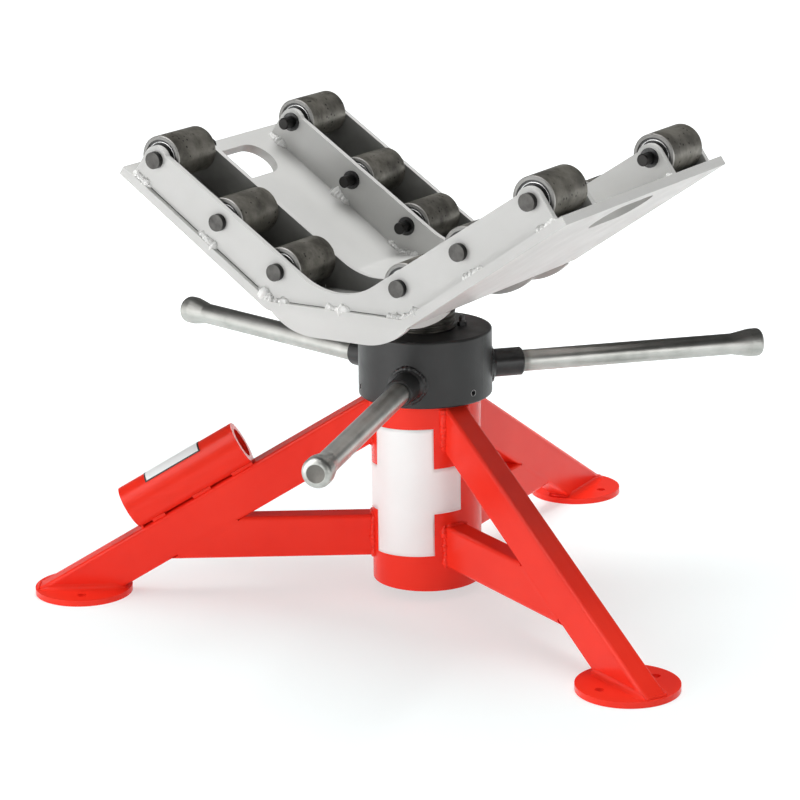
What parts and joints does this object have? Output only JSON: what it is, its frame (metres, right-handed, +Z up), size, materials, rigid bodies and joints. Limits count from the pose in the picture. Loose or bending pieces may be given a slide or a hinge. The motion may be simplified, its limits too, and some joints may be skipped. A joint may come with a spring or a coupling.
{
  "type": "pipe roller support",
  "caption": "Low tripod pipe stand with a V-shaped roller head on a lift screw, raised by a hand-turned collar nut with radial handles.",
  "frame": {"origin": "the column's axis where it meets the floor plane under the three feet", "axes": "+Z up along the lift screw, +X across the V of the roller head, +Y along the pipe, away from the pictured side"},
  "size_m": [0.7454, 0.7811, 0.4855],
  "materials": {
    "red_paint": "glossy enamel over welded steel",
    "grey_paint": "satin light grey enamel",
    "black_paint": "satin black",
    "roller_steel": "bare tube with mill scale and turned rims",
    "bare_steel": "oiled turned steel",
    "bright_zinc": "bright zinc plate",
    "black_ring": "phosphated spring steel",
    "bearing_black": "dark shields between steel races",
    "bronze": "machined bronze"
  },
  "bodies": {
    "base": {"column_tube": "red_paint", "guide_bush": "bronze", "leg_left": "red_paint", "leg_right": "red_paint", "leg_rear": "red_paint", "brace_left": "red_paint", "brace_right": "red_paint", "brace_rear": "red_paint", "foot_left": "red_paint", "foot_right": "red_paint", "foot_rear": "red_paint", "transport_collar": "red_paint", "thrust_race_lower": "bare_steel"},
    "nut": {"thrust_race_upper": "bare_steel", "thrust_balls": "bare_steel", "adjusting_nut": "black_paint", "retaining_screws": "bare_steel", "grease_fitting": "bright_zinc", "handle_sockets": "black_paint", "handle_front": "bright_zinc", "handle_right": "bright_zinc", "handle_left": "bright_zinc"},
    "head": {"lift_screw": "bare_steel", "stop_washer": "bare_steel", "stop_bolt": "bare_steel", "screw_flange": "grey_paint", "cradle_plate": "grey_paint", "front_ribs": "grey_paint", "rear_ribs": "grey_paint", "front_outer_plate": "grey_paint", "front_inner_plate": "grey_paint", "rear_inner_plate": "grey_paint", "rear_outer_plate": "grey_paint", "axle_pins": "bare_steel", "retaining_rings": "black_ring"},
    "rolling_front_left_low": {"roller_front_left_low": "roller_steel", "bearings_front_left_low": "bearing_black"},
    "rolling_front_left_mid": {"roller_front_left_mid": "roller_steel", "bearings_front_left_mid": "bearing_black"},
    "rolling_front_left_top": {"roller_front_left_top": "roller_steel", "bearings_front_left_top": "bearing_black"},
    "rolling_front_right_low": {"roller_front_right_low": "roller_steel", "bearings_front_right_low": "bearing_black"},
    "rolling_front_right_mid": {"roller_front_right_mid": "roller_steel", "bearings_front_right_mid": "bearing_black"},
    "rolling_front_right_top": {"roller_front_right_top": "roller_steel", "bearings_front_right_top": "bearing_black"},
    "rolling_rear_left_low": {"roller_rear_left_low": "roller_steel", "bearings_rear_left_low": "bearing_black"},
    "rolling_rear_left_mid": {"roller_rear_left_mid": "roller_steel", "bearings_rear_left_mid": "bearing_black"},
    "rolling_rear_left_top": {"roller_rear_left_top": "roller_steel", "bearings_rear_left_top": "bearing_black"},
    "rolling_rear_right_low": {"roller_rear_right_low": "roller_steel", "bearings_rear_right_low": "bearing_black"},
    "rolling_rear_right_mid": {"roller_rear_right_mid": "roller_steel", "bearings_rear_right_mid": "bearing_black"},
    "rolling_rear_right_top": {"roller_rear_right_top": "roller_steel", "bearings_rear_right_top": "bearing_black"}
  },
  "joints": [
    {"name": "nut_turn", "type": "hinge", "parent": "base", "child": "nut", "pos_m": [0, 0, 0.245], "axis": [0, 0, -1], "range_deg": [-992, 11338]},
    {"name": "head_lift", "type": "slide", "parent": "base", "child": "head", "axis": [0, 0, 1], "range_m": [-0.014, 0.16]},
    {"name": "spin_front_left_low", "type": "hinge", "parent": "head", "child": "rolling_front_left_low", "pos_m": [-0.07154, -0.1213, 0.36301], "axis": [0, 1, 0], "continuous": true},
    {"name": "spin_front_left_mid", "type": "hinge", "parent": "head", "child": "rolling_front_left_mid", "pos_m": [-0.13993, -0.1213, 0.40632], "axis": [0, 1, 0], "continuous": true},
    {"name": "spin_front_left_top", "type": "hinge", "parent": "head", "child": "rolling_front_left_top", "pos_m": [-0.21599, -0.1213, 0.46252], "axis": [0, 1, 0], "continuous": true},
    {"name": "spin_front_right_low", "type": "hinge", "parent": "head", "child": "rolling_front_right_low", "pos_m": [0.07154, -0.1213, 0.36301], "axis": [0, 1, 0], "continuous": true},
    {"name": "spin_front_right_mid", "type": "hinge", "parent": "head", "child": "rolling_front_right_mid", "pos_m": [0.13993, -0.1213, 0.40632], "axis": [0, 1, 0], "continuous": true},
    {"name": "spin_front_right_top", "type": "hinge", "parent": "head", "child": "rolling_front_right_top", "pos_m": [0.21599, -0.1213, 0.46252], "axis": [0, 1, 0], "continuous": true},
    {"name": "spin_rear_left_low", "type": "hinge", "parent": "head", "child": "rolling_rear_left_low", "pos_m": [-0.07154, 0.1213, 0.36301], "axis": [0, 1, 0], "continuous": true},
    {"name": "spin_rear_left_mid", "type": "hinge", "parent": "head", "child": "rolling_rear_left_mid", "pos_m": [-0.13993, 0.1213, 0.40632], "axis": [0, 1, 0], "continuous": true},
    {"name": "spin_rear_left_top", "type": "hinge", "parent": "head", "child": "rolling_rear_left_top", "pos_m": [-0.21599, 0.1213, 0.46252], "axis": [0, 1, 0], "continuous": true},
    {"name": "spin_rear_right_low", "type": "hinge", "parent": "head", "child": "rolling_rear_right_low", "pos_m": [0.07154, 0.1213, 0.36301], "axis": [0, 1, 0], "continuous": true},
    {"name": "spin_rear_right_mid", "type": "hinge", "parent": "head", "child": "rolling_rear_right_mid", "pos_m": [0.13993, 0.1213, 0.40632], "axis": [0, 1, 0], "continuous": true},
    {"name": "spin_rear_right_top", "type": "hinge", "parent": "head", "child": "rolling_rear_right_top", "pos_m": [0.21599, 0.1213, 0.46252], "axis": [0, 1, 0], "continuous": true}
  ],
  "couplings": [
    {"joint": "head_lift", "follows": "nut_turn", "m_per_rad": 0.00080851}
  ]
}
